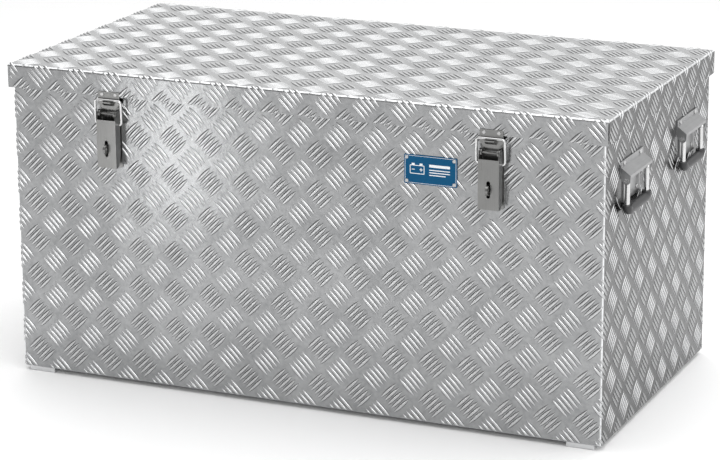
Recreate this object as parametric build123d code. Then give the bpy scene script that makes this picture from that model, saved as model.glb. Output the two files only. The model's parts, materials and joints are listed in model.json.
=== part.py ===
from build123d import *
import os

# Treadplate storage chest for batteries: a folded aluminium body, a hinged lid with a seal,
# two padlockable toggle latches in front, and two drop handles on each end.
# Millimetres. +X is to the right seen from the front, +Y to the back, +Z up.
# The origin is on the ground under the middle of the whole outline.

# Driving dimensions
BODY_LENGTH = 1009.0
BODY_DEPTH = 512.0
TOTAL_HEIGHT = 520.0
SHEET = 2.0
BEND = 4.0

RUNNER_WIDTH = 45.0
RUNNER_HEIGHT = 8.0
RUNNER_CHAMFER = 1.5
RUNNER_INSET = 11.0

LID_OVERHANG = 6.5
LID_SKIRT = 38.5
LID_CORNER_GAP = 1.6
RIM_LEG = 16.0
SEAL_WIDTH = 12.0
SEAL_HEIGHT = 8.2
SEAL_GAP = 0.3

HINGE_LENGTH = 960.0
HINGE_KNUCKLES = 24
KNUCKLE_RADIUS = 4.0
KNUCKLE_GAP = 0.5
HINGE_PIN_RADIUS = 2.0
HINGE_LEAF = 1.5
HINGE_RIVETS = 12
LID_LEAF_HEIGHT = 30.0
BODY_LEAF_HEIGHT = 42.0

LATCH_X = 326.0
LATCH_PIVOT_OUT = 11.5
LATCH_PIVOT_Z = 455.0
LEVER_FACE_OUT = 20.0
LEVER_HALF_WIDTH = 17.0
LEVER_TOP = 446.0
LEVER_BOTTOM = 368.0
LEVER_SHEET = 1.5
BAIL_PIVOT_OUT = 10.5
BAIL_PIVOT_Z = 438.0
BAIL_BAR_OUT = 11.5
BAIL_BAR_Z = 477.0
BAIL_HALF_WIDTH = 23.0
BAIL_WIRE_RADIUS = 2.0
STAPLE_TIP_OUT = 29.5
STAPLE_Z = 399.0
PADLOCK_HOLE_RADIUS = 3.25
PADLOCK_HOLE_OUT = 24.0

PLATE_X = 224.5
PLATE_Z = 414.5
PLATE_LENGTH = 87.0
PLATE_HEIGHT = 46.0
PLATE_THICKNESS = 1.6

HANDLE_SPACING = 276.0
HANDLE_TOP = 440.0
HANDLE_HALF_WIDTH = 52.0
HANDLE_LIP_OUT = 17.0
HANDLE_PIVOT_OUT = 10.5
HANDLE_PIVOT_Z = 411.5
HANDLE_ROD_RADIUS = 3.7
HANDLE_ARM_Y = 45.5
GRIP_RADIUS = 7.5
GRIP_Z = 363.5
GRIP_END_Z = 372.5

KEEPER_RIVET = {"head_radius": 3.0, "shank_radius": 1.6, "head_height": 1.2}
RUNNING_CLEARANCE = 0.05

# Worked-out places
REAR_PROUD = LID_OVERHANG + 2 * KNUCKLE_RADIUS
BODY_Y = (STAPLE_TIP_OUT - REAR_PROUD) / 2
FRONT_Y = BODY_Y - BODY_DEPTH / 2
REAR_Y = BODY_Y + BODY_DEPTH / 2
SIDE_X = BODY_LENGTH / 2
FLOOR_Z = RUNNER_HEIGHT
SKIRT_Z = TOTAL_HEIGHT - LID_SKIRT
RIM_TOP = TOTAL_HEIGHT - SHEET - SEAL_HEIGHT - SEAL_GAP
WALL_TOP = RIM_TOP - SHEET
HINGE_Y = REAR_Y + LID_OVERHANG + KNUCKLE_RADIUS
HINGE_Z = SKIRT_Z - KNUCKLE_RADIUS

TO_FRONT = Rot(90, 0, 0)
TO_REAR = Rot(-90, 0, 0)
TO_SIDE = {1: Rot(0, 90, 0), -1: Rot(0, -90, 0)}


# Helpers
def slab(x_low, x_high, y_low, y_high, z_low, z_high):
    """A box between two values on each axis."""
    middle = ((x_low + x_high) / 2, (y_low + y_high) / 2, (z_low + z_high) / 2)
    return Pos(*middle) * Box(x_high - x_low, y_high - y_low, z_high - z_low)


def prism_x(outline, x_low, x_high):
    """A (y, z) outline extruded from x_low to x_high."""
    face = Face(Wire.make_polygon([(x_low, y, z) for y, z in outline], close=True))
    return Solid.extrude(face, Vector(x_high - x_low, 0, 0))


def prism_y(outline, y_low, y_high):
    """An (x, z) outline extruded from y_low to y_high."""
    face = Face(Wire.make_polygon([(x, y_low, z) for x, z in outline], close=True))
    return Solid.extrude(face, Vector(0, y_high - y_low, 0))


def prism_front(outline, x_low, x_high):
    """An outline of (distance out from the front face, z), extruded along X."""
    return prism_x([(FRONT_Y - out, z) for out, z in outline], x_low, x_high)


def bar_x(y, z, radius, x_low, x_high):
    """A round bar along X."""
    place = Pos((x_low + x_high) / 2, y, z) * Rot(0, 90, 0)
    return place * Cylinder(radius, x_high - x_low)


def bar_y(x, z, radius, y_low, y_high):
    """A round bar along Y."""
    place = Pos(x, (y_low + y_high) / 2, z) * Rot(90, 0, 0)
    return place * Cylinder(radius, y_high - y_low)


def bent_rod(points, bend, radius):
    """A round rod along straight runs joined by equal bends."""
    path = FilletPolyline(*points, radius=bend)
    return sweep(Plane(path @ 0, z_dir=path % 0) * Circle(radius), path)


def group(solids):
    """Separate solids kept together as one node."""
    return Compound(children=list(solids))


def rivet(grip, head_radius=4.0, shank_radius=2.0, head_height=1.6):
    """A blind rivet along Z: the head stands above Z 0 and the shank goes grip deep."""
    tail_height = 1.2
    head = Pos(0, 0, head_height / 2) * Cylinder(head_radius, head_height)
    head = fillet(head.edges().sort_by(Axis.Z)[-1], head_height * 0.6)
    shank = Pos(0, 0, -grip / 2) * Cylinder(shank_radius, grip)
    tail = Pos(0, 0, -grip - tail_height / 2) * Cylinder(shank_radius * 1.5, tail_height)
    return head + shank + tail


def drill(places, turn, depth, shank_radius=2.0):
    """Drills for rivet shanks, sunk depth below each place."""
    radius = shank_radius + RUNNING_CLEARANCE
    return [Pos(*place) * turn * Pos(0, 0, -depth / 2) * Cylinder(radius, depth * 1.5) for place in places]


def rivets(places, turn, grip, **sizes):
    """One rivet at each place, its head on that side."""
    return group(Pos(*place) * turn * rivet(grip, **sizes) for place in places)


# Rivet places
def latch_rivet_places(x):
    out_y = FRONT_Y - SHEET
    return [(x + dx, out_y, z) for dx in (-9, 9) for z in (378, 436)]


def keeper_rivet_places(x):
    out_y = FRONT_Y - LID_OVERHANG - LEVER_SHEET
    return [(x + dx, out_y, 485.5) for dx in (-12, 12)]


def plate_rivet_places():
    dx, dz = PLATE_LENGTH / 2 - 4.5, PLATE_HEIGHT / 2 - 4.5
    corners = [(sx * dx, sz * dz) for sx in (-1, 1) for sz in (-1, 1)]
    return [(PLATE_X + x, FRONT_Y - PLATE_THICKNESS, PLATE_Z + z) for x, z in corners]


def handle_rivet_places(side, y):
    out_x = side * (SIDE_X + SHEET)
    upper = [(out_x, y + dy, HANDLE_TOP - 4.5) for dy in (-38, 38)]
    lower = [(out_x, y + dy, 385) for dy in (-22, 22)]
    return upper + lower


def hinge_rivet_places(y, z):
    pitch = HINGE_LENGTH / HINGE_RIVETS
    first = -HINGE_LENGTH / 2 + pitch / 2
    return [(first + i * pitch, y, z) for i in range(HINGE_RIVETS)]


LID_LEAF_RIVETS = hinge_rivet_places(HINGE_Y - KNUCKLE_RADIUS + HINGE_LEAF, HINGE_Z + 18)
BODY_LEAF_RIVETS = hinge_rivet_places(REAR_Y + HINGE_LEAF, HINGE_Z - 30)
HANDLES = {
    "handle_right_front": (1, BODY_Y - HANDLE_SPACING / 2),
    "handle_right_rear": (1, BODY_Y + HANDLE_SPACING / 2),
    "handle_left_front": (-1, BODY_Y - HANDLE_SPACING / 2),
    "handle_left_rear": (-1, BODY_Y + HANDLE_SPACING / 2),
}
LATCHES = {"latch_left": -LATCH_X, "latch_right": LATCH_X}


# Chest body
def body_front_and_sides():
    """Front and both ends, bent from one sheet round the two front corners."""
    outer = slab(-SIDE_X, SIDE_X, FRONT_Y, REAR_Y, FLOOR_Z, WALL_TOP)
    outer = fillet(outer.edges().filter_by(Axis.Z).group_by(Axis.Y)[0], BEND)
    inner_x = SIDE_X - SHEET
    inner = slab(-inner_x, inner_x, FRONT_Y + SHEET, REAR_Y + 1, FLOOR_Z - 1, WALL_TOP + 1)
    inner = fillet(inner.edges().filter_by(Axis.Z).group_by(Axis.Y)[0], BEND - SHEET)
    sheet = outer - inner
    depth = 2 * SHEET
    for x in LATCHES.values():
        sheet -= drill(latch_rivet_places(x), TO_FRONT, depth)
    sheet -= drill(plate_rivet_places(), TO_FRONT, depth, shank_radius=1.6)
    for side, y in HANDLES.values():
        sheet -= drill(handle_rivet_places(side, y), TO_SIDE[side], depth)
    return sheet


def back_panel():
    """Rear sheet, set between the two ends."""
    inner_x = SIDE_X - SHEET
    panel = slab(-inner_x, inner_x, REAR_Y - SHEET, REAR_Y, FLOOR_Z, WALL_TOP)
    return panel - drill(BODY_LEAF_RIVETS, TO_REAR, 2 * SHEET)


def floor_panel():
    """Bottom sheet, set inside the four walls."""
    inner_x = SIDE_X - SHEET
    sheet = slab(-inner_x, inner_x, FRONT_Y + SHEET, REAR_Y - SHEET, FLOOR_Z, FLOOR_Z + SHEET)
    front_corners = sheet.edges().filter_by(Axis.Z).group_by(Axis.Y)[0]
    return fillet(front_corners, BEND - SHEET)


def ring(half_x, half_y, width, z_low, z_high):
    """A rectangular ring round the body's middle."""
    outer = slab(-half_x, half_x, BODY_Y - half_y, BODY_Y + half_y, z_low, z_high)
    in_x, in_y = half_x - width, half_y - width
    return outer - slab(-in_x, in_x, BODY_Y - in_y, BODY_Y + in_y, z_low - 1, z_high + 1)


def rim_frame():
    """Angle section that caps the walls and stiffens the opening."""
    cap = ring(SIDE_X, BODY_DEPTH / 2, RIM_LEG, WALL_TOP, RIM_TOP)
    cap = fillet(cap.edges().filter_by(Axis.Z).group_by(Axis.Y)[0], BEND)
    leg = ring(SIDE_X - SHEET, BODY_DEPTH / 2 - SHEET, SHEET, WALL_TOP - RIM_LEG, WALL_TOP)
    leg_corners = leg.edges().filter_by(Axis.Z).group_by(Axis.Y)[0]
    return cap + fillet(leg_corners, BEND - SHEET)


def runner(side):
    """Flat bar under one end, from front to back, its lower edges broken all round."""
    outer_x = side * (SIDE_X - RUNNER_INSET)
    inner_x = outer_x - side * RUNNER_WIDTH
    low, high = sorted((outer_x, inner_x))
    bar = slab(low, high, FRONT_Y, REAR_Y, 0, RUNNER_HEIGHT)
    return chamfer(bar.faces().sort_by(Axis.Z)[0].edges(), RUNNER_CHAMFER)


# Lid
def lid_shell():
    """Top sheet folded down on four sides, with open corners."""
    half_x, half_y = SIDE_X + LID_OVERHANG, BODY_DEPTH / 2 + LID_OVERHANG
    outer = slab(-half_x, half_x, BODY_Y - half_y, BODY_Y + half_y, SKIRT_Z, TOTAL_HEIGHT)
    outer = fillet(outer.faces().sort_by(Axis.Z)[-1].edges(), BEND)
    in_x, in_y = half_x - SHEET, half_y - SHEET
    inner_top = TOTAL_HEIGHT - SHEET
    inner = slab(-in_x, in_x, BODY_Y - in_y, BODY_Y + in_y, SKIRT_Z - 10, inner_top)
    inner = fillet(inner.faces().sort_by(Axis.Z)[-1].edges(), BEND - SHEET)
    shell = outer - inner
    slit_top = TOTAL_HEIGHT - BEND
    for sx in (-1, 1):
        for sy in (-1, 1):
            slit = Box(20, LID_CORNER_GAP, slit_top - SKIRT_Z + 2)
            place = Pos(sx * half_x, BODY_Y + sy * half_y, (slit_top + SKIRT_Z - 2) / 2)
            shell -= place * Rot(0, 0, 45 * sx * sy) * slit
    shell -= drill(LID_LEAF_RIVETS, TO_REAR, 2 * SHEET)
    for x in LATCHES.values():
        shell -= drill(keeper_rivet_places(x), TO_FRONT, 2 * SHEET, KEEPER_RIVET["shank_radius"])
    return shell


def lid_seal():
    """Rubber ring under the lid, just over the rim."""
    inset = (RIM_LEG - SEAL_WIDTH) / 2
    top = TOTAL_HEIGHT - SHEET
    half_x, half_y = SIDE_X - inset, BODY_DEPTH / 2 - inset
    seal = ring(half_x, half_y, SEAL_WIDTH, top - SEAL_HEIGHT, top)
    return fillet(seal.edges().filter_by(Axis.Z), BEND)


# Rear hinge
def knuckles(parity):
    """Every second knuckle of the hinge, as (x_low, x_high)."""
    pitch = HINGE_LENGTH / HINGE_KNUCKLES
    starts = [-HINGE_LENGTH / 2 + i * pitch for i in range(HINGE_KNUCKLES) if i % 2 == parity]
    return [(x + KNUCKLE_GAP / 2, x + pitch - KNUCKLE_GAP / 2) for x in starts]


def hinge_leaf(outline, tab, parity, places, turn):
    """A leaf of one outline with its knuckles, bored for the pin. Outlines are from the axis."""

    def placed(points):
        return [(HINGE_Y + y, HINGE_Z + z) for y, z in points]

    leaf = prism_x(placed(outline), -HINGE_LENGTH / 2, HINGE_LENGTH / 2)
    for x_low, x_high in knuckles(parity):
        leaf += prism_x(placed(tab), x_low, x_high)
        leaf += bar_x(HINGE_Y, HINGE_Z, KNUCKLE_RADIUS, x_low, x_high)
    bore = HINGE_PIN_RADIUS + RUNNING_CLEARANCE
    leaf -= bar_x(HINGE_Y, HINGE_Z, bore, -SIDE_X, SIDE_X)
    return leaf - drill(places, turn, 2 * SHEET)


def hinge_lid_leaf():
    front, back = -KNUCKLE_RADIUS, HINGE_LEAF - KNUCKLE_RADIUS
    low = KNUCKLE_RADIUS + KNUCKLE_GAP
    plate = [(front, low), (back, low), (back, LID_LEAF_HEIGHT), (front, LID_LEAF_HEIGHT)]
    tab = [(front, 0), (back, 0), (back, low), (front, low)]
    return hinge_leaf(plate, tab, 1, LID_LEAF_RIVETS, TO_REAR)


def hinge_body_leaf():
    """Leaf with a joggle from the knuckles in to the back panel."""
    front, back = -KNUCKLE_RADIUS, HINGE_LEAF - KNUCKLE_RADIUS
    wall = REAR_Y - HINGE_Y
    high = -KNUCKLE_RADIUS - KNUCKLE_GAP
    plate = [
        (front, high),
        (front, -8),
        (wall, -15),
        (wall, -BODY_LEAF_HEIGHT),
        (wall + HINGE_LEAF, -BODY_LEAF_HEIGHT),
        (wall + HINGE_LEAF, -14.3),
        (back, -7.3),
        (back, high),
    ]
    tab = [(front, 0), (back, 0), (back, high), (front, high)]
    return hinge_leaf(plate, tab, 0, BODY_LEAF_RIVETS, TO_REAR)


def hinge_pin():
    return bar_x(HINGE_Y, HINGE_Z, HINGE_PIN_RADIUS, -HINGE_LENGTH / 2, HINGE_LENGTH / 2)


# Toggle latches
def latch_base(x):
    """Plate on the body with two ears that hold the lever's pin."""
    plate = prism_front([(0, 366), (SHEET, 366), (SHEET, 474), (0, 474)], x - 18.5, x + 18.5)
    plate = fillet(plate.edges().filter_by(Axis.Y), 3)
    pin_y = FRONT_Y - LATCH_PIVOT_OUT
    low, high = LATCH_PIVOT_Z - 6, LATCH_PIVOT_Z + 6
    for x_low in (x - 14.5, x + 12.5):
        ear = prism_front([(1, low), (11.5, low), (11.5, high), (1, high)], x_low, x_low + 2)
        plate += ear + bar_x(pin_y, LATCH_PIVOT_Z, 6, x_low, x_low + 2)
    plate -= bar_x(pin_y, LATCH_PIVOT_Z, BAIL_WIRE_RADIUS + RUNNING_CLEARANCE, x - 20, x + 20)
    slot = slab(x - 2.05, x + 2.05, FRONT_Y - 5, FRONT_Y + 1, STAPLE_Z - 8.05, STAPLE_Z + 8.05)
    return plate - drill(latch_rivet_places(x), TO_FRONT, 2 * SHEET) - slot


def latch_staple(x):
    """Eye that stands out through the lever's slot, for a padlock's shackle."""
    nose = 8.0
    middle_out = STAPLE_TIP_OUT - nose
    low, high = STAPLE_Z - nose, STAPLE_Z + nose
    blade = prism_front([(0, low), (middle_out, low), (middle_out, high), (0, high)], x - 2, x + 2)
    blade += bar_x(FRONT_Y - middle_out, STAPLE_Z, nose, x - 2, x + 2)
    return blade - bar_x(FRONT_Y - PADLOCK_HOLE_OUT, STAPLE_Z, PADLOCK_HOLE_RADIUS, x - 3, x + 3)


def latch_pivot_pin(x):
    """Pin through the ears and the lever, with a flat head at each end."""
    y, z = FRONT_Y - LATCH_PIVOT_OUT, LATCH_PIVOT_Z
    edge = LEVER_HALF_WIDTH + 0.2
    pin = bar_x(y, z, BAIL_WIRE_RADIUS, x - edge, x + edge)
    pin += bar_x(y, z, 3.2, x - edge - 1, x - edge)
    return pin + bar_x(y, z, 3.2, x + edge, x + edge + 1)


def latch_lever(x):
    """Folded channel: a slotted face, and two flanges that reach back to the pin."""
    inner = LEVER_HALF_WIDTH - LEVER_SHEET
    face_back = LEVER_FACE_OUT - LEVER_SHEET
    flange = [
        (4, 390),
        (10, 371),
        (13, LEVER_BOTTOM),
        (LEVER_FACE_OUT, LEVER_BOTTOM),
        (LEVER_FACE_OUT, LEVER_TOP),
        (17.5, LATCH_PIVOT_Z),
        (LATCH_PIVOT_OUT, LATCH_PIVOT_Z + 2),
        (5, LATCH_PIVOT_Z),
        (4, 450),
    ]
    pin_y = FRONT_Y - LATCH_PIVOT_OUT
    face = [(face_back, LEVER_BOTTOM), (LEVER_FACE_OUT, LEVER_BOTTOM)]
    face += [(LEVER_FACE_OUT, LEVER_TOP), (face_back, LEVER_TOP)]
    lever = prism_front(face, x - LEVER_HALF_WIDTH, x + LEVER_HALF_WIDTH)
    for x_low in (x - LEVER_HALF_WIDTH, x + inner):
        lever += prism_front(flange, x_low, x_low + LEVER_SHEET)
        lever += bar_x(pin_y, LATCH_PIVOT_Z, 6.5, x_low, x_low + LEVER_SHEET)
    bore = BAIL_WIRE_RADIUS + RUNNING_CLEARANCE
    lever -= bar_x(pin_y, LATCH_PIVOT_Z, bore, x - 20, x + 20)
    lever -= bar_x(FRONT_Y - BAIL_PIVOT_OUT, BAIL_PIVOT_Z, bore, x - 20, x + 20)
    slot_low, slot_high = STAPLE_Z - 10, STAPLE_Z + 11
    slot = slab(x - 3, x + 3, FRONT_Y - 25, FRONT_Y - 15, slot_low, slot_high)
    for z in (slot_low, slot_high):
        slot += bar_y(x, z, 3, FRONT_Y - 25, FRONT_Y - 15)
    return lever - slot


def latch_bail(x):
    """Wire loop from the lever up to the keeper on the lid."""
    end = LEVER_HALF_WIDTH - LEVER_SHEET - 0.6
    low_y, high_y = FRONT_Y - BAIL_PIVOT_OUT, FRONT_Y - BAIL_BAR_OUT
    half = BAIL_HALF_WIDTH
    points = [(-end, low_y, BAIL_PIVOT_Z), (-half, low_y, BAIL_PIVOT_Z), (-half, high_y, BAIL_BAR_Z)]
    points += [(-px, y, z) for px, y, z in reversed(points)]
    return Pos(x, 0, 0) * bent_rod(points, 4.5, BAIL_WIRE_RADIUS)


def latch_keeper(x):
    """Plate on the lid's skirt with a hooked nose that the bail pulls down on."""
    plate_in, plate_out = LID_OVERHANG, LID_OVERHANG + LEVER_SHEET
    half, low, high, cut = 19.0, 462.0, 490.0, 8.0
    outline = [(-half, low + cut), (cut - half, low), (half - cut, low), (half, low + cut)]
    outline += [(half, high), (-half, high)]
    outline = [(x + px, z) for px, z in outline]
    keeper = prism_y(outline, FRONT_Y - plate_out, FRONT_Y - plate_in)
    floor_z = BAIL_BAR_Z - BAIL_WIRE_RADIUS - 0.3
    nose_tip, cradle, cradle_out = 20.0, 23.0, 12.7
    under = [(plate_in, 466), (13, 471.3), (nose_tip, 473.8), (nose_tip, 478)]
    nose = prism_front(under + [(plate_in, 478)], x - 9, x + 9)
    nose -= bar_x(FRONT_Y - cradle_out, floor_z + cradle, cradle, x - 12, x + 12)
    keeper += nose
    return keeper - drill(keeper_rivet_places(x), TO_FRONT, 2 * SHEET, KEEPER_RIVET["shank_radius"])


# Nameplate
def nameplate():
    """Small printed plate between the latches, near the right one."""
    dx, dz = PLATE_LENGTH / 2, PLATE_HEIGHT / 2
    front = FRONT_Y - PLATE_THICKNESS
    plate = slab(PLATE_X - dx, PLATE_X + dx, front, FRONT_Y, PLATE_Z - dz, PLATE_Z + dz)
    plate = fillet(plate.edges().filter_by(Axis.Y), 2)
    return plate - drill(plate_rivet_places(), TO_FRONT, 2 * SHEET, shank_radius=1.6)


# Drop handles
def handle_hood(side, y):
    """Riveted plate whose upper part folds out to a hood, with two cheeks that hold the rod."""

    def placed(points):
        return [(side * (SIDE_X + out), z) for out, z in points]

    top, half, lip = HANDLE_TOP, HANDLE_HALF_WIDTH, HANDLE_LIP_OUT
    fold, lip_top, lip_low = top - 9, top - 20, top - 24.5
    plate_half, plate_low = 38.0, 374.0
    brow = [(0, top), (SHEET, top), (SHEET, fold), (lip, lip_top), (lip, lip_low)]
    brow += [(lip - SHEET, lip_low), (lip - SHEET, lip_top - 1), (0, fold - 1)]
    plate = [(0, plate_low), (SHEET, plate_low), (SHEET, fold), (0, fold)]
    hood = prism_y(placed(brow), y - half, y + half)
    hood += prism_y(placed(plate), y - plate_half, y + plate_half)
    cheek = [(0, top), (SHEET, top), (SHEET, fold), (lip, lip_top), (lip, lip_low)]
    cheek += [(16.5, 409), (13, 405.5), (8, 405.5), (4.5, 409), (0, 416)]
    for y_low in (y - half, y + half - SHEET):
        hood += prism_y(placed(cheek), y_low, y_low + SHEET)
    bore = HANDLE_ROD_RADIUS + RUNNING_CLEARANCE
    pivot_x = side * (SIDE_X + HANDLE_PIVOT_OUT)
    hood -= bar_y(pivot_x, HANDLE_PIVOT_Z, bore, y - half - 1, y + half + 1)
    return hood - drill(handle_rivet_places(side, y), TO_SIDE[side], 2 * SHEET)


def handle_bail(side, y):
    """Round rod bent to a U, with its two ends turned out into the cheeks."""
    x = side * (SIDE_X + HANDLE_PIVOT_OUT)
    end = HANDLE_HALF_WIDTH - 0.2
    half = [(x, y - end, HANDLE_PIVOT_Z), (x, y - HANDLE_ARM_Y, HANDLE_PIVOT_Z), (x, y - HANDLE_ARM_Y, GRIP_Z)]
    points = half + [(px, 2 * y - py, pz) for px, py, pz in reversed(half)]
    return bent_rod(points, 4.0, HANDLE_ROD_RADIUS)


def handle_grip(side, y):
    """Moulded sleeve round the rod's lower run, turned up at both ends."""
    x = side * (SIDE_X + HANDLE_PIVOT_OUT)
    points = [(x, y - HANDLE_ARM_Y, GRIP_END_Z), (x, y - HANDLE_ARM_Y, GRIP_Z)]
    points += [(px, 2 * y - py, pz) for px, py, pz in reversed(points)]
    return bent_rod(points, 8.5, GRIP_RADIUS) - handle_bail(side, y)


# All nodes
def all_nodes():
    nodes = {
        "body_front_and_sides": body_front_and_sides(),
        "back_panel": back_panel(),
        "floor_panel": floor_panel(),
        "rim_frame": rim_frame(),
        "runner_left": runner(-1),
        "runner_right": runner(1),
        "lid_shell": lid_shell(),
        "lid_seal": lid_seal(),
        "hinge_body_leaf": hinge_body_leaf(),
        "hinge_lid_leaf": hinge_lid_leaf(),
        "hinge_pin": hinge_pin(),
        "hinge_body_rivets": rivets(BODY_LEAF_RIVETS, TO_REAR, HINGE_LEAF + SHEET),
        "hinge_lid_rivets": rivets(LID_LEAF_RIVETS, TO_REAR, HINGE_LEAF + SHEET),
        "nameplate": nameplate(),
        "nameplate_rivets": rivets(
            plate_rivet_places(),
            TO_FRONT,
            PLATE_THICKNESS + SHEET,
            head_radius=2.8,
            shank_radius=1.6,
            head_height=1.2,
        ),
    }
    for name, x in LATCHES.items():
        nodes[name + "_base"] = latch_base(x)
        nodes[name + "_staple"] = latch_staple(x)
        nodes[name + "_pivot_pin"] = latch_pivot_pin(x)
        nodes[name + "_lever"] = latch_lever(x)
        nodes[name + "_bail"] = latch_bail(x)
        nodes[name + "_keeper"] = latch_keeper(x)
        nodes[name + "_base_rivets"] = rivets(latch_rivet_places(x), TO_FRONT, 2 * SHEET)
        grip = LEVER_SHEET + SHEET
        nodes[name + "_keeper_rivets"] = rivets(keeper_rivet_places(x), TO_FRONT, grip, **KEEPER_RIVET)
    for name, (side, y) in HANDLES.items():
        nodes[name + "_hood"] = handle_hood(side, y)
        nodes[name + "_bail"] = handle_bail(side, y)
        nodes[name + "_grip"] = handle_grip(side, y)
        nodes[name + "_rivets"] = rivets(handle_rivet_places(side, y), TO_SIDE[side], 2 * SHEET)
    return nodes


os.makedirs("parts", exist_ok=True)
for node, shape in all_nodes().items():
    export_step(shape, f"parts/{node}.step")
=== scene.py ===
import json
import math

import bmesh
import bpy
import numpy as np
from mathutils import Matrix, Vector


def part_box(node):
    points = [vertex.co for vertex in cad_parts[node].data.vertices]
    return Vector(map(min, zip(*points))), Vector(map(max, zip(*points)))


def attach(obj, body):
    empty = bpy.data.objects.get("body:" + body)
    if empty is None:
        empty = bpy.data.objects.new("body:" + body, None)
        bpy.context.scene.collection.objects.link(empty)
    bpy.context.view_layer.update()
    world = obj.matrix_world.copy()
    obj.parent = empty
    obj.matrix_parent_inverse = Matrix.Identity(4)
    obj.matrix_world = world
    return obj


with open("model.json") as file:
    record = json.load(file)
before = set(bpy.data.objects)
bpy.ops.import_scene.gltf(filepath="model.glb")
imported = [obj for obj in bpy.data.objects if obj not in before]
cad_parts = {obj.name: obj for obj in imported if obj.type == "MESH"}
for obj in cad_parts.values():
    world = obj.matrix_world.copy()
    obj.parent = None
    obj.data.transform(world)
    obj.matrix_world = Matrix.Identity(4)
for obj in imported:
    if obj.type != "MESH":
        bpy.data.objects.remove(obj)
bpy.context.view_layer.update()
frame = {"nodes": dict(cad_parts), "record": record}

# Looks for the treadplate chest: raised bars, the nameplate's print, materials and studio.
# Metres, in the CAD frame: +X right, +Y to the hinge, +Z up.

NODES = frame["nodes"]
MM = 0.001

# Places from the frame
BODY_LOW, BODY_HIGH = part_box("body_front_and_sides")
LID_LOW, LID_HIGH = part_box("lid_shell")
PLATE_LOW, PLATE_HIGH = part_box("nameplate")
BEND = 4 * MM
ARC = BEND * math.pi / 2

# Treadplate pattern: groups of parallel bars that turn by a quarter from group to group
PITCH = 63.4 * MM
BARS_IN_GROUP = 5
BAR_SPACING = 7.9 * MM
BAR_LENGTH = 38 * MM
BAR_WIDTH = 6.7 * MM
BAR_HEIGHT = 1.5 * MM
BAR_SUNK = 0.15 * MM
BAR_BLUNT = 0.12
BAR_STEPS = 12
BAR_FACETS = 4
BAR_SIDE_POWER = 2.4
BAR_CREST_POWER = 4
SHEET_EDGE = 0.5 * MM
BODY_PHASE = (5 * MM, 8 * MM)
BACK_PHASE = (20 * MM, 30 * MM)
LID_PHASE = (24.3 * MM, 203.1 * MM)

# Factors that paint shade and highlight into the treadplate's base colour, matched to this
# studio's lighting; 1 leaves the finish even
FOOT_SHADE = 0.68
UNDER_SHADE = 0.84
CREST_SHADE = 0.5
BEND_PAINTED_HIGHLIGHT = 2.3
WALL_SHADE = 0.82
END_SHADE = 0.28
INSIDE_TONE_AND_PAINTED_LIGHT = 1.6
INSIDE_MARGIN = 10 * MM
EVEN = (1, 1, 1)

# Print on the nameplate
PRINT_THICKNESS = 0.12 * MM
CORNER_STEPS = 5

# Camera, and the side on which the room is dim
AZIMUTH, ELEVATION, ROLL = 23.998, 16.09, -0.4185
CAMERA_PLACE = (1.8309, -4.1236, 1.5309)
LENS = 142.59
DARK_SIDE = Vector((-0.95, -0.35, 0.05)).normalized()
FLOOR_HALF = 12


# Mesh helpers
def new_object(name, mesh, body, material):
    """An object in the scene that rides a body and wears one material."""
    piece = bpy.data.objects.new(name, mesh)
    bpy.context.scene.collection.objects.link(piece)
    mesh.materials.append(material)
    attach(piece, body)
    return piece


def mesh_of_quads(name, points, crown, quads):
    """A smooth mesh from an array of points and an array of quads, without unused points.
    crown is 0 at a bar's foot and 1 along its crest, for the material, which uses it to paint shade at the
    foot."""
    used, inverse = np.unique(quads, return_inverse=True)
    corners = inverse.reshape(-1).astype(np.int32)
    mesh = bpy.data.meshes.new(name)
    mesh.vertices.add(len(used))
    mesh.vertices.foreach_set("co", points[used].astype(np.float32).ravel())
    mesh.loops.add(len(corners))
    mesh.loops.foreach_set("vertex_index", corners)
    mesh.polygons.add(len(corners) // 4)
    mesh.polygons.foreach_set("loop_start", np.arange(0, len(corners), 4, dtype=np.int32))
    mesh.update(calc_edges=True)
    mesh.shade_smooth()
    crown_for_painted_shade = mesh.attributes.new("crown", "FLOAT", "POINT")
    crown_for_painted_shade.data.foreach_set("value", crown[used].astype(np.float32))
    return mesh


# Treadplate
def bar_centres(u_range, v_range, phase, first_turn=1):
    """Middles and directions of all bars whose groups lie in a flat stretch of sheet.
    first_turn is 1 where the groups at the phase lean right, and -1 where they lean left."""
    found = []
    for turn in (1, -1):
        shift = 0 if turn == 1 else PITCH / 2
        first_u, first_v = phase[0] + shift, phase[1] + shift
        i_range = [math.floor((u - first_u) / PITCH) for u in u_range]
        j_range = [math.floor((v - first_v) / PITCH) for v in v_range]
        for i in range(i_range[0], i_range[1] + 2):
            for j in range(j_range[0], j_range[1] + 2):
                for k in range(BARS_IN_GROUP):
                    step = (k - (BARS_IN_GROUP - 1) / 2) * BAR_SPACING / math.sqrt(2)
                    lean = turn * first_turn
                    middle = (first_u + i * PITCH - step * lean, first_v + j * PITCH + step)
                    found.append((*middle, lean * math.pi / 4))
    return np.array(found)


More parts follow.
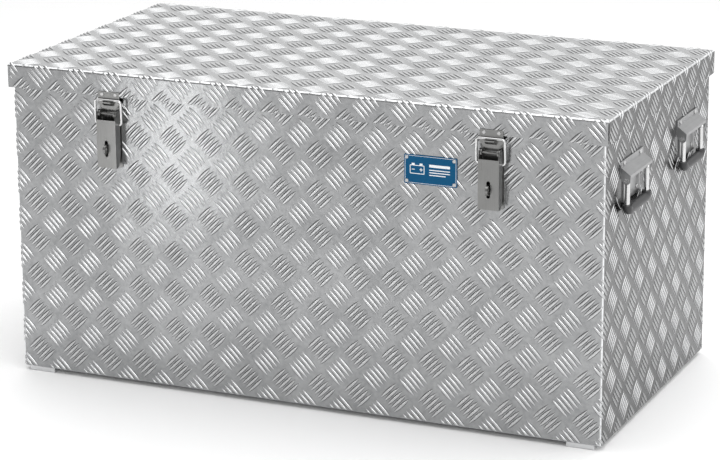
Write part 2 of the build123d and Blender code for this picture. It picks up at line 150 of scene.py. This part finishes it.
def bars(centres, inside, clamp, fold):
    """Points and quads of lens-shaped raised bars, cut off outside the sheet and folded with it."""
    t = np.linspace(-1, 1, BAR_STEPS + 1)[None, :, None]
    f = np.linspace(-1, 1, BAR_FACETS + 1)[None, None, :]
    half_width = BAR_WIDTH / 2 * (BAR_BLUNT + (1 - BAR_BLUNT) * (1 - np.abs(t) ** BAR_SIDE_POWER))
    rise = (BAR_HEIGHT + BAR_SUNK) * (1 - np.abs(t) ** BAR_CREST_POWER) * np.cos(f * math.pi / 2) - BAR_SUNK
    along, across = t * BAR_LENGTH / 2 + 0 * f, f * half_width
    cos, sin = np.cos(centres[:, 2])[:, None, None], np.sin(centres[:, 2])[:, None, None]
    u = centres[:, 0][:, None, None] + along * cos - across * sin
    v = centres[:, 1][:, None, None] + along * sin + across * cos
    kept = inside(u, v)
    height = np.where(kept, rise + 0 * u, -BAR_SUNK)
    u, v = clamp(u, v)
    points = np.stack(fold(u, v, height), axis=-1).reshape(-1, 3)
    crown = np.clip(height / BAR_HEIGHT, 0, 1).reshape(-1)

    columns = BAR_FACETS + 1
    per_bar = (BAR_STEPS + 1) * columns
    a = (np.arange(BAR_STEPS)[:, None] * columns + np.arange(BAR_FACETS)[None, :]).ravel()
    top = np.stack([a, a + columns, a + columns + 1, a + 1], axis=1)
    b = np.arange(BAR_STEPS) * columns
    under = np.stack([b, b + BAR_FACETS, b + columns + BAR_FACETS, b + columns], axis=1)
    one = np.concatenate([top, under])
    quads = (np.arange(len(centres))[:, None, None] * per_bar + one[None]).reshape(-1, 4)
    return points, crown, quads[kept.reshape(-1)[quads].any(axis=1)]


def body_fold(s, z, h):
    """Body sheet, unrolled along s, bent round the two front corners."""
    flat = BODY_HIGH.x - BEND
    side, over = np.sign(s), np.abs(s) - flat
    angle = np.clip(over / BEND, 0, math.pi / 2)
    past = np.maximum(over - ARC, 0)
    x = side * (np.minimum(np.abs(s), flat) + (BEND + h) * np.sin(angle))
    y = BODY_LOW.y + BEND - (BEND + h) * np.cos(angle) + past
    return x, y, z + 0 * s


def back_fold(u, z, h):
    return u + 0 * h, BODY_HIGH.y + h, z + 0 * h


LID_MIDDLE = (LID_LOW + LID_HIGH) / 2
LID_FLAT = (LID_HIGH.x - BEND, (LID_HIGH.y - LID_LOW.y) / 2 - BEND)
SKIRT_FLAT = LID_HIGH.z - BEND - LID_LOW.z


def lid_fold(u, v, h):
    """Lid sheet, unrolled flat, bent down on all four sides. v is from the lid's middle."""
    over_u, over_v = np.abs(u) - LID_FLAT[0], np.abs(v) - LID_FLAT[1]
    turn_u = np.clip(over_u / BEND, 0, math.pi / 2)
    turn_v = np.clip(over_v / BEND, 0, math.pi / 2)
    drop = np.maximum(over_u - ARC, 0) + np.maximum(over_v - ARC, 0)
    x = np.sign(u) * (np.minimum(np.abs(u), LID_FLAT[0]) + (BEND + h) * np.sin(turn_u))
    y = np.sign(v) * (np.minimum(np.abs(v), LID_FLAT[1]) + (BEND + h) * np.sin(turn_v))
    z = LID_HIGH.z - BEND + (BEND + h) * np.cos(turn_u) * np.cos(turn_v) - drop
    return x, y + LID_MIDDLE.y, z


def lid_inside(u, v):
    """True on the unrolled lid, which is a cross: its corners are cut out."""
    reach = ARC + SKIRT_FLAT
    over_u, over_v = np.abs(u) - LID_FLAT[0], np.abs(v) - LID_FLAT[1]
    on_x = (over_u < reach) & (over_v < 0)
    on_y = (over_v < reach) & (over_u < 0)
    return on_x | on_y


def lid_clamp(u, v):
    reach = ARC + SKIRT_FLAT
    over_u, over_v = np.abs(u) - LID_FLAT[0], np.abs(v) - LID_FLAT[1]
    to_skirt_x = over_u > over_v
    limit_u = np.where(to_skirt_x, LID_FLAT[0] + reach, LID_FLAT[0])
    limit_v = np.where(to_skirt_x, LID_FLAT[1], LID_FLAT[1] + reach)
    return np.clip(u, -limit_u, limit_u), np.clip(v, -limit_v, limit_v)


def box_clamp(u_range, v_range):
    def inside(u, v):
        return (u > u_range[0]) & (u < u_range[1]) & (v > v_range[0]) & (v < v_range[1])

    def clamp(u, v):
        return np.clip(u, *u_range), np.clip(v, *v_range)

    return inside, clamp


def without(centres, boxes):
    """The centres outside every (u_low, u_high, v_low, v_high), where a fitting lies on the sheet."""
    for u_low, u_high, v_low, v_high in boxes:
        u, v = centres[:, 0], centres[:, 1]
        centres = centres[~((u > u_low) & (u < u_high) & (v > v_low) & (v < v_high))]
    return centres


def along_body(x_or_y, on_side):
    """The unrolled place of an x on the front, or of a y on an end."""
    return BODY_HIGH.x - BEND + ARC + (x_or_y - BODY_LOW.y - BEND) if on_side else x_or_y


def treadplate(material):
    low, high = BODY_LOW.z + SHEET_EDGE, BODY_HIGH.z - SHEET_EDGE
    reach = along_body(BODY_HIGH.y - SHEET_EDGE, True)
    inside, clamp = box_clamp((-reach, reach), (low, high))
    centres = bar_centres((-reach, reach), (low, high), BODY_PHASE, first_turn=-1)
    covered = []
    for side in ("left", "right"):
        for piece in (f"latch_{side}_base", "nameplate"):
            a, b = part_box(piece)
            covered.append((a.x, b.x, a.z, b.z))
        for end in ("front", "rear"):
            a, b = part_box(f"handle_{side}_{end}_hood")
            s = sorted(along_body(y, True) * (1 if side == "right" else -1) for y in (a.y, b.y))
            covered.append((*s, a.z, b.z))
    centres = without(centres, covered)
    corner = BODY_HIGH.x - BEND + ARC / 2
    for name, chosen in (
        ("bars_front", np.abs(centres[:, 0]) <= corner),
        ("bars_right", centres[:, 0] > corner),
        ("bars_left", centres[:, 0] < -corner),
    ):
        made = bars(centres[chosen], inside, clamp, body_fold)
        new_object(name, mesh_of_quads(name, *made), "chest", material)

    panel_low, panel_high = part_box("back_panel")
    u_range = (panel_low.x + 2 * SHEET_EDGE, panel_high.x - 2 * SHEET_EDGE)
    inside, clamp = box_clamp(u_range, (low, high))
    leaf_low, leaf_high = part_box("hinge_body_leaf")
    centres = bar_centres(u_range, (low, high), BACK_PHASE)
    centres = without(centres, [(leaf_low.x, leaf_high.x, leaf_low.z, high)])
    made = bars(centres, inside, clamp, back_fold)
    new_object("bars_back", mesh_of_quads("bars_back", *made), "chest", material)

    reach_u, reach_v = LID_FLAT[0] + ARC + SKIRT_FLAT, LID_FLAT[1] + ARC + SKIRT_FLAT
    centres = bar_centres((-reach_u, reach_u), (-reach_v, reach_v), LID_PHASE)
    leaf_low, leaf_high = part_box("hinge_lid_leaf")
    centres = without(centres, [(leaf_low.x, leaf_high.x, LID_FLAT[1] + ARC, reach_v)])
    on_top = (np.abs(centres[:, 0]) < LID_FLAT[0]) & (np.abs(centres[:, 1]) < LID_FLAT[1])
    for name, chosen in (("bars_lid_top", on_top), ("bars_lid_skirts", ~on_top)):
        made = bars(centres[chosen], lid_inside, lid_clamp, lid_fold)
        new_object(name, mesh_of_quads(name, *made), "lid", material)


# Print on the nameplate: a battery with its two poles, and plain lines
def rounded(middle, width, height, radius):
    """A rounded rectangle's corners in (x, z), anticlockwise seen from the front."""
    points = []
    for quarter, (sx, sz) in enumerate(((1, 1), (-1, 1), (-1, -1), (1, -1))):
        centre = (middle[0] + sx * (width / 2 - radius), middle[1] + sz * (height / 2 - radius))
        for step in range(CORNER_STEPS + 1):
            angle = math.pi / 2 * (quarter + step / CORNER_STEPS)
            points.append((centre[0] + radius * math.cos(angle), centre[1] + radius * math.sin(angle)))
    return points


def add_print(builder, outline, hole=None):
    """A thin closed patch on the plate's face, with an optional hole of as many points."""
    back, front = PLATE_LOW.y, PLATE_LOW.y - PRINT_THICKNESS

    def ring(points, y):
        return [builder.verts.new((x, y, z)) for x, z in points]

    def band(first, second):
        for i in range(len(first)):
            j = (i + 1) % len(first)
            builder.faces.new((first[i], first[j], second[j], second[i]))

    outer_back, outer_front = ring(outline, back), ring(outline, front)
    band(outer_back, outer_front)
    if hole is None:
        builder.faces.new(outer_front)
        builder.faces.new(outer_back[::-1])
        return
    inner_back, inner_front = ring(hole, back), ring(hole, front)
    band(outer_front, inner_front)
    band(inner_front, inner_back)
    band(inner_back, outer_back)


def nameplate_print(material):
    middle_x, middle_z = (PLATE_LOW.x + PLATE_HIGH.x) / 2, (PLATE_LOW.z + PLATE_HIGH.z) / 2
    builder = bmesh.new()

    def patch(x, z, width, height, radius=0.5 * MM, border=None):
        centre = (middle_x + x * MM, middle_z + z * MM)
        width, height = width * MM, height * MM
        hole = None
        if border is not None:
            inset = 2 * border * MM
            hole = rounded(centre, width - inset, height - inset, radius * 0.6)
        add_print(builder, rounded(centre, width, height, radius), hole)

    patch(0, 0, 84, 43, radius=1.6 * MM, border=0.5)
    patch(-22, 0, 24, 14, radius=1.2 * MM, border=1.1)
    for pole_x in (-28.5, -15.5):
        patch(pole_x, 8.4, 5, 2.8)
    patch(-28.5, 0, 5, 1.2)
    patch(-15.5, 0, 5, 1.2)
    for upright_z in (1.6, -1.6):
        patch(-15.5, upright_z, 1.2, 2.0)
    for line_z, width, thickness in ((7.5, 34, 4.2), (1.0, 34, 1.4), (-3.0, 34, 1.4), (-7.0, 27, 1.4)):
        patch(width / 2 - 2, line_z, width, thickness)
    bmesh.ops.recalc_face_normals(builder, faces=builder.faces)
    mesh = bpy.data.meshes.new("nameplate_print")
    builder.to_mesh(mesh)
    builder.free()
    new_object("nameplate_print", mesh, "chest", material)


# Materials
def node(tree, kind, **inputs):
    """A shader node with some inputs set, by name, to a value or to another node's output."""
    made = tree.nodes.new(kind)
    for name, value in inputs.items():
        socket = made.inputs[name.replace("_", " ")]
        if isinstance(value, bpy.types.NodeSocket):
            tree.links.new(value, socket)
        else:
            socket.default_value = value
    return made


def spread(tree, factor, low, high):
    """A factor from 0 to 1 spread between two numbers."""
    made = node(tree, "ShaderNodeMapRange", Value=factor)
    made.inputs["To Min"].default_value = low
    made.inputs["To Max"].default_value = high
    return made.outputs["Result"]


def tint(tree, factor, low, high):
    """A colour between two colours."""
    ramp = node(tree, "ShaderNodeValToRGB", Fac=factor)
    ramp.color_ramp.elements[0].color = (*low, 1)
    ramp.color_ramp.elements[0].position = 0.25
    ramp.color_ramp.elements[1].color = (*high, 1)
    ramp.color_ramp.elements[1].position = 0.75
    return ramp.outputs["Color"]


def grain(tree, scale, stretch=(1, 1, 1), detail=4.0, roughness=0.55):
    """Noise in the piece's own frame, in marks per metre, drawn out along some axes."""
    place = node(tree, "ShaderNodeTexCoord").outputs["Object"]
    mapping = node(tree, "ShaderNodeMapping", Vector=place)
    mapping.inputs["Scale"].default_value = stretch
    made = node(tree, "ShaderNodeTexNoise", Vector=mapping.outputs["Vector"])
    made.inputs["Scale"].default_value = scale
    made.inputs["Detail"].default_value = detail
    made.inputs["Roughness"].default_value = roughness
    return made.outputs["Fac"]


def blend_of(tree, first, second, share):
    mix = node(tree, "ShaderNodeMix")
    mix.inputs["Factor"].default_value = share
    tree.links.new(first, mix.inputs["A"])
    tree.links.new(second, mix.inputs["B"])
    return mix.outputs["Result"]


def bumped(tree, height, distance, strength, under=None):
    made = node(tree, "ShaderNodeBump", Height=height, Distance=distance, Strength=strength)
    if under is not None:
        tree.links.new(under, made.inputs["Normal"])
    return made.outputs["Normal"]


def surface(name, metallic, colours, roughness, marks, bumps, specular=0.5):
    """A material of two colours and two roughnesses mixed by noise, with bumps from noise.
    marks and each of bumps start with (scale, stretch)."""
    made = bpy.data.materials.new(name)
    made.use_nodes = True
    tree = made.node_tree
    shader = tree.nodes["Principled BSDF"]
    shader.inputs["Metallic"].default_value = metallic
    shader.inputs["Specular IOR Level"].default_value = specular
    broad = grain(tree, *marks[0])
    fine = grain(tree, *marks[1])
    both = blend_of(tree, broad, fine, 0.5)
    tree.links.new(tint(tree, both, *colours), shader.inputs["Base Color"])
    tree.links.new(spread(tree, both, *roughness), shader.inputs["Roughness"])
    normal = None
    for scale, stretch, distance, strength in bumps:
        normal = bumped(tree, grain(tree, scale, stretch), distance, strength, normal)
    tree.links.new(normal, shader.inputs["Normal"])
    made.diffuse_color = (*colours[1], 1)
    return made


def toned(material, factor):
    """Multiplies a material's base colour by a factor socket."""
    tree = material.node_tree
    base = tree.nodes["Principled BSDF"].inputs["Base Color"]
    scaled = tree.nodes.new("ShaderNodeVectorMath")
    scaled.operation = "SCALE"
    tree.links.new(base.links[0].from_socket, scaled.inputs[0])
    tree.links.new(factor, scaled.inputs["Scale"])
    tree.links.new(scaled.outputs["Vector"], base)
    return material


def ranged(tree, value, from_range, to_range):
    """A value's share of one range as a number in another, held at both ends."""
    made = node(tree, "ShaderNodeMapRange", Value=value)
    made.inputs["From Min"].default_value, made.inputs["From Max"].default_value = from_range
    made.inputs["To Min"].default_value, made.inputs["To Max"].default_value = to_range
    return made.outputs["Result"]


def combined(tree, operation, first, second):
    """Two values combined by a maths node."""
    made = tree.nodes.new("ShaderNodeMath")
    made.operation = operation
    tree.links.new(first, made.inputs[0])
    tree.links.new(second, made.inputs[1])
    return made.outputs["Value"]


def bars_painted_shade(material):
    """Paints shade into a bar's colour: darkens it towards its foot and on its underside, and its crest on
    the right end.
    """
    tree = material.node_tree
    crown = tree.nodes.new("ShaderNodeAttribute")
    crown.attribute_name = "crown"
    # painted shade: darker towards the bar's foot, where the bars shade each other
    toned(material, ranged(tree, crown.outputs["Fac"], (0.1, 0.7), (FOOT_SHADE, 1)))
    normal = node(tree, "ShaderNodeTexCoord").outputs["Normal"]
    parts = node(tree, "ShaderNodeSeparateXYZ", Vector=normal)
    # painted shade: darker on faces that point down, standing for the dimmer floor they face
    toned(material, ranged(tree, parts.outputs["Z"], (-0.4, 0.25), (UNDER_SHADE, 1)))
    # painted shade: the crest darker on the right end, where the light is dim
    return toned(material, ranged(tree, parts.outputs["X"], (0.88, 0.99), (1, CREST_SHADE)))


def sheet_painted_light_and_shade(material):
    """Paints light and shade into the sheet's colour. Outside, a painted highlight brightens the sheet
    where it is bent, and painted shade darkens the walls, most of all the right end. Inside, it
    brightens the sheet evenly, partly for the lighter plain sheet inside and partly as painted light."""
    tree = material.node_tree
    places = node(tree, "ShaderNodeTexCoord")
    size = node(tree, "ShaderNodeVectorMath", Vector=places.outputs["Normal"])
    size.operation = "ABSOLUTE"
    parts = node(tree, "ShaderNodeSeparateXYZ", Vector=size.outputs["Vector"])
    largest = parts.outputs["X"]
    for axis in ("Y", "Z"):
        largest = combined(tree, "MAXIMUM", largest, parts.outputs[axis])
    rightward = node(tree, "ShaderNodeSeparateXYZ", Vector=places.outputs["Normal"]).outputs["X"]
    # painted highlight: the bent sheet is brightened
    bend = ranged(tree, largest, (0.80, 0.98), (BEND_PAINTED_HIGHLIGHT, 1))
    # painted shade: the walls are darker than the lid's top
    wall = ranged(tree, parts.outputs["Z"], (0.2, 0.9), (WALL_SHADE, 1))
    # painted shade: the right end is darkest, as if turned away from the light
    end = ranged(tree, rightward, (0.90, 0.99), (1, END_SHADE))
    shade = combined(tree, "MULTIPLY", combined(tree, "MULTIPLY", bend, wall), end)

    from_middle = node(tree, "ShaderNodeVectorMath", Vector=places.outputs["Object"])
    from_middle.operation = "SUBTRACT"
    from_middle.inputs[1].default_value = (0, LID_MIDDLE.y, LID_HIGH.z / 2)
    outward = tree.nodes.new("ShaderNodeVectorMath")
    outward.operation = "DOT_PRODUCT"
    tree.links.new(from_middle.outputs["Vector"], outward.inputs[0])
    tree.links.new(places.outputs["Normal"], outward.inputs[1])
    # inside: brightened evenly, partly a lighter sheet and partly painted light; outside: the painted light
    # and shade above
    chosen = node(tree, "ShaderNodeMapRange", Value=outward.outputs["Value"], To_Max=shade)
    chosen.inputs["From Min"].default_value = -INSIDE_MARGIN
    chosen.inputs["From Max"].default_value = INSIDE_MARGIN
    chosen.inputs["To Min"].default_value = INSIDE_TONE_AND_PAINTED_LIGHT
    return toned(material, chosen.outputs["Result"])


def materials():
    """Every material, by the record's slot; treadplate bars have their own."""
    return {
        "treadplate": sheet_painted_light_and_shade(surface(
            "treadplate", 1.0, [(0.28, 0.285, 0.29), (0.53, 0.535, 0.54)], (0.14, 0.32),
            [(14, EVEN), (150, EVEN)], [(24, EVEN, 0.002, 0.35), (170, EVEN, 0.0006, 0.4)],
        )),
        "bars": bars_painted_shade(surface(
            "treadplate_bars", 1.0, [(0.52, 0.525, 0.53), (0.70, 0.705, 0.71)], (0.15, 0.28),
            [(9, EVEN), (260, EVEN)], [(600, EVEN, 0.0002, 0.2)],
        )),
        "plain_aluminium": surface(
            "plain_aluminium", 1.0, [(0.58, 0.585, 0.59), (0.70, 0.705, 0.71)], (0.25, 0.42),
            [(12, EVEN), (300, (1, 0.04, 1))], [(500, (1, 0.03, 1), 0.0002, 0.25)],
        ),
        "stainless_steel": surface(
            "stainless_steel", 1.0, [(0.20, 0.20, 0.197), (0.27, 0.27, 0.265)], (0.22, 0.36),
            [(25, EVEN), (900, (1, 1, 0.03))], [(1200, (1, 1, 0.03), 0.0001, 0.3)],
        ),
        "polished_wire": surface(
            "polished_wire", 1.0, [(0.56, 0.56, 0.56), (0.74, 0.74, 0.74)], (0.08, 0.2),
            [(40, EVEN), (700, EVEN)], [(900, EVEN, 0.0001, 0.2)],
        ),
        "zinc_plated_steel": surface(
            "zinc_plated_steel", 1.0, [(0.27, 0.272, 0.275), (0.38, 0.382, 0.385)], (0.22, 0.38),
            [(45, EVEN), (500, (1, 0.05, 1))], [(700, (1, 0.05, 1), 0.0001, 0.3)],
        ),
        "rivet_metal": surface(
            "rivet_metal", 1.0, [(0.42, 0.42, 0.42), (0.58, 0.58, 0.58)], (0.2, 0.36),
            [(60, EVEN), (900, EVEN)], [(1100, EVEN, 0.0001, 0.3)],
        ),
        "black_grip": surface(
            "black_grip", 0.0, [(0.016, 0.016, 0.017), (0.034, 0.034, 0.036)], (0.34, 0.52),
            [(30, EVEN), (900, EVEN)], [(1500, EVEN, 0.0002, 0.35)],
        ),
        "seal_rubber": surface(
            "seal_rubber", 0.0, [(0.014, 0.014, 0.014), (0.03, 0.03, 0.03)], (0.62, 0.85),
            [(40, EVEN), (1200, EVEN)], [(1800, EVEN, 0.0003, 0.5)],
        ),
        "blue_plate": surface(
            "blue_plate", 0.0, [(0.0, 0.062, 0.15), (0.0, 0.082, 0.19)], (0.28, 0.40),
            [(30, EVEN), (800, EVEN)], [(900, EVEN, 0.0001, 0.15)], specular=0.15,
        ),
        "print": surface(
            "white_print", 0.0, [(0.74, 0.76, 0.78), (0.86, 0.87, 0.88)], (0.35, 0.5),
            [(60, EVEN), (900, EVEN)], [(900, EVEN, 0.0001, 0.15)],
        ),
    }


# Studio
def camera():
    """The viewing angle: from the front, a little to the right and above."""
    azimuth, elevation, roll = (math.radians(a) for a in (AZIMUTH, ELEVATION, ROLL))
    back = Vector((
        math.sin(azimuth) * math.cos(elevation),
        -math.cos(azimuth) * math.cos(elevation),
        math.sin(elevation),
    ))
    level = Vector((math.cos(azimuth), math.sin(azimuth), 0))
    upright = back.cross(level)
    right = level * math.cos(roll) + upright * math.sin(roll)
    up = upright * math.cos(roll) - level * math.sin(roll)
    data = bpy.data.cameras.new("camera")
    data.sensor_width = 36
    data.lens = LENS
    data.clip_end = 100
    made = bpy.data.objects.new("camera", data)
    bpy.context.scene.collection.objects.link(made)
    matrix = made.matrix_world
    for i, axis in enumerate((right, up, back, Vector(CAMERA_PLACE))):
        for j in range(3):
            matrix[j][i] = axis[j]
    made.matrix_world = matrix
    bpy.context.scene.camera = made


def softbox(name, place, target, size, power):
    """A rectangular light that faces a point."""
    data = bpy.data.lights.new(name, "AREA")
    data.shape = "RECTANGLE"
    data.size, data.size_y = size
    data.energy = power
    made = bpy.data.objects.new(name, data)
    bpy.context.scene.collection.objects.link(made)
    made.location = place
    made.rotation_euler = (Vector(target) - Vector(place)).to_track_quat("-Z", "Y").to_euler()
    made.visible_camera = False


def studio():
    """A bright room, dimmer on the left, with lights overhead, in front and on the right, and a
    narrow strip whose reflection is the bright patch beside the left latch."""
    softbox("overhead", (0.0, 0.2, 2.7), (0.0, 0.1, 0.0), (3.8, 3.8), 53)
    softbox("front", (1.6, -5.4, 2.7), (0.1, 0.0, 0.3), (2.4, 1.6), 44)
    softbox("strip", (-0.58, -0.95, 0.25), (-0.21, -0.25, 0.36), (0.06, 0.34), 0.27)
    softbox("right", (2.3, 0.5, 1.15), (0.5, 0.0, 0.35), (1.1, 0.9), 6)

    world = bpy.data.worlds.new("studio")
    world.use_nodes = True
    tree = world.node_tree
    direction = node(tree, "ShaderNodeTexCoord").outputs["Generated"]
    towards = node(tree, "ShaderNodeVectorMath", Vector=direction)
    towards.operation = "DOT_PRODUCT"
    towards.inputs[1].default_value = DARK_SIDE
    glow = ranged(tree, towards.outputs["Value"], (0.3, 0.75), (1.0, 0.3))
    tree.links.new(glow, tree.nodes["Background"].inputs["Strength"])
    tree.nodes["Background"].inputs["Color"].default_value = (1, 1, 1, 1)
    bpy.context.scene.world = world

    mesh = bpy.data.meshes.new("floor")
    builder = bmesh.new()
    bmesh.ops.create_grid(builder, x_segments=1, y_segments=1, size=FLOOR_HALF)
    builder.to_mesh(mesh)
    builder.free()
    floor = bpy.data.objects.new("floor", mesh)
    bpy.context.scene.collection.objects.link(floor)
    mesh.materials.append(surface(
        "floor", 0.0, [(0.95, 0.95, 0.95), (0.96, 0.96, 0.96)], (0.6, 0.7),
        [(0.5, EVEN), (3, EVEN)], [(40, EVEN, 0.0002, 0.1)],
    ))
    bpy.context.scene.view_settings.view_transform = "Standard"


MATERIALS = materials()
for part in frame["record"]["subparts"]:
    mesh = NODES[part["node"]].data
    mesh.materials.clear()
    mesh.materials.append(MATERIALS[part["material_slot"]])
treadplate(MATERIALS["bars"])
nameplate_print(MATERIALS["print"])
camera()
studio()
